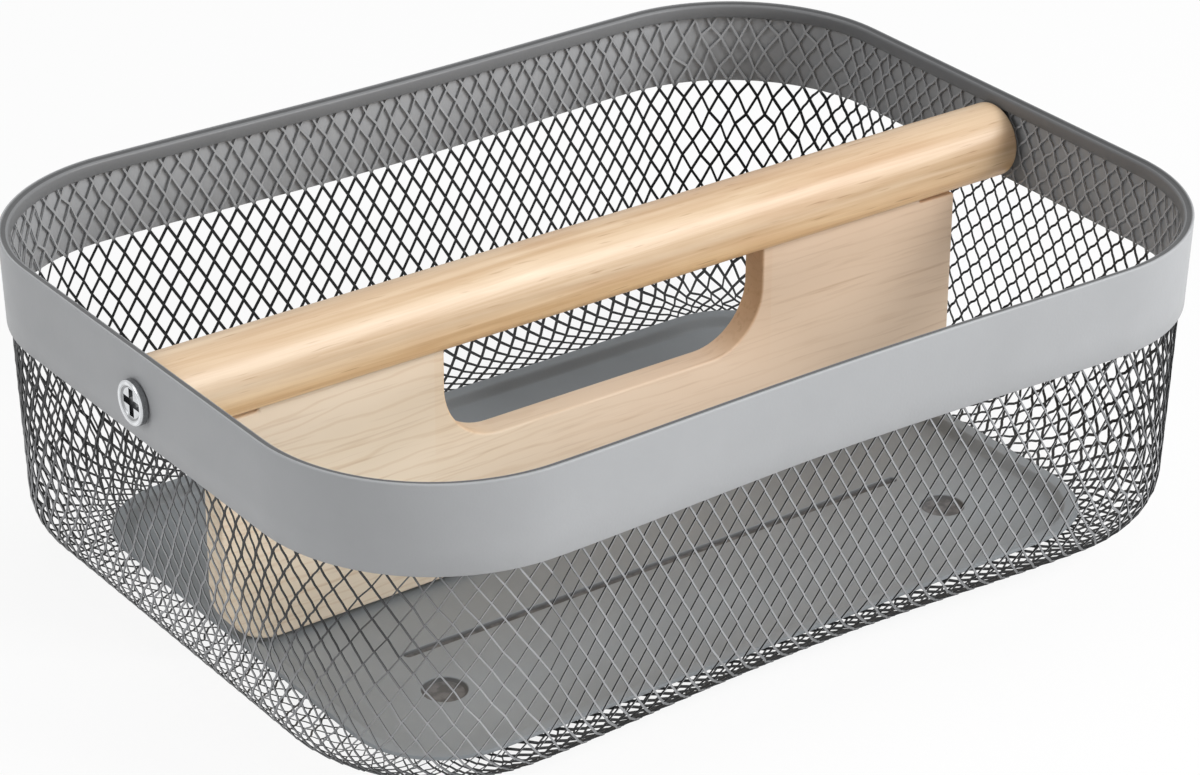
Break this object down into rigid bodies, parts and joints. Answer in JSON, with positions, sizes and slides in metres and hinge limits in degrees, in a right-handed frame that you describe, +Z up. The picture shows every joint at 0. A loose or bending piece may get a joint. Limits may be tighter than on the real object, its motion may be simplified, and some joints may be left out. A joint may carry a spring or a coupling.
{
  "type": "mesh storage basket with handle",
  "caption": "Open-topped rectangular expanded-metal basket with a solid rim band, pressed base and a round wooden carrying bar whose board divides it in two.",
  "frame": {"origin": "under the middle of the base, at the level of the four pressed feet", "axes": "+X along the handle bar, +Y across the basket towards its back, +Z up"},
  "size_m": [0.3548, 0.2674, 0.118],
  "materials": {
    "grey_paint": "satin mid-grey powder coat on sheet steel",
    "grey_mesh_paint": "satin mid-grey powder coat on expanded steel",
    "pale_dowel_wood": "clear matt lacquer on a pale turned bar, grain along its length",
    "pale_board_wood": "clear matt lacquer on pale board",
    "zinc": "bright zinc plating",
    "brass": "turned brass"
  },
  "bodies": {
    "basket": {"rim_band": "grey_paint", "base_plate": "grey_paint", "mesh_right": "grey_mesh_paint", "mesh_corner_back_right": "grey_mesh_paint", "mesh_back": "grey_mesh_paint", "mesh_corner_back_left": "grey_mesh_paint", "mesh_left": "grey_mesh_paint", "mesh_corner_front_left": "grey_mesh_paint", "mesh_front": "grey_mesh_paint", "mesh_corner_front_right": "grey_mesh_paint"},
    "handle": {"handle_dowel": "pale_dowel_wood", "divider_board": "pale_board_wood", "pivot_screw_left": "zinc", "pivot_screw_right": "zinc", "threaded_insert_left": "brass", "threaded_insert_right": "brass"}
  },
  "joints": [
    {"name": "handle_swing", "type": "hinge", "parent": "basket", "child": "handle", "pos_m": [0, 0, 0.1008], "axis": [1, 0, 0], "continuous": true}
  ]
}
